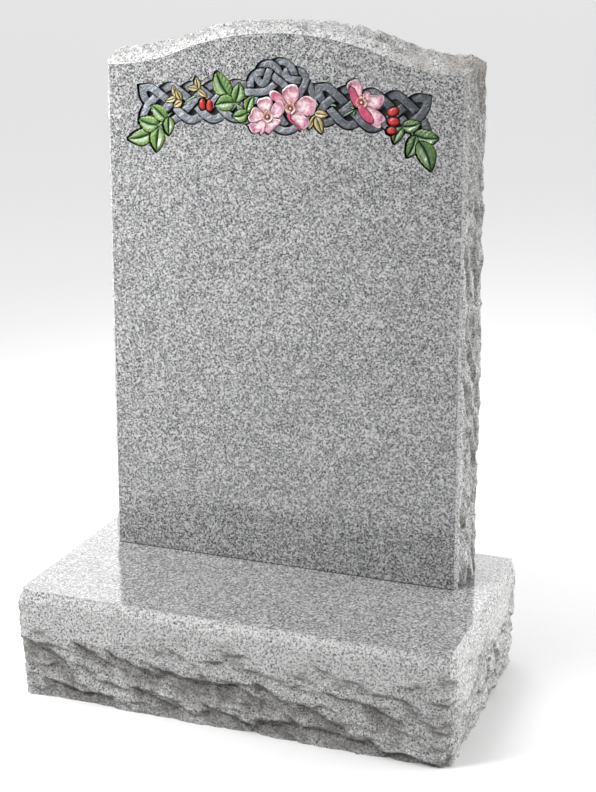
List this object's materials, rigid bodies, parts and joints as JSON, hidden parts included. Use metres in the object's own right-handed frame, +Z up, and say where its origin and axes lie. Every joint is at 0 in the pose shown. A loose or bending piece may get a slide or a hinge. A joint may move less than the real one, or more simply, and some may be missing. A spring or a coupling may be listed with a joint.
{
  "type": "lawn memorial",
  "caption": "Upright granite memorial with an ogee top, rock-pitched edges and a sunk band of painted knotwork and roses, standing on a rock-pitched base.",
  "frame": {"origin": "middle of the base's footprint, at the ground", "axes": "+Z up, the polished and carved face looks along -Y, +X to the right of a person facing it"},
  "size_m": [0.6536, 0.3738, 0.9617],
  "materials": {
    "carved_granite": "light grey granite, polished faces, rock-pitched edges, painted carving",
    "base_granite": "light grey granite, polished top, rock-pitched sides"
  },
  "bodies": {
    "root": {"headstone": "carved_granite", "base": "base_granite"}
  },
  "joints": []
}
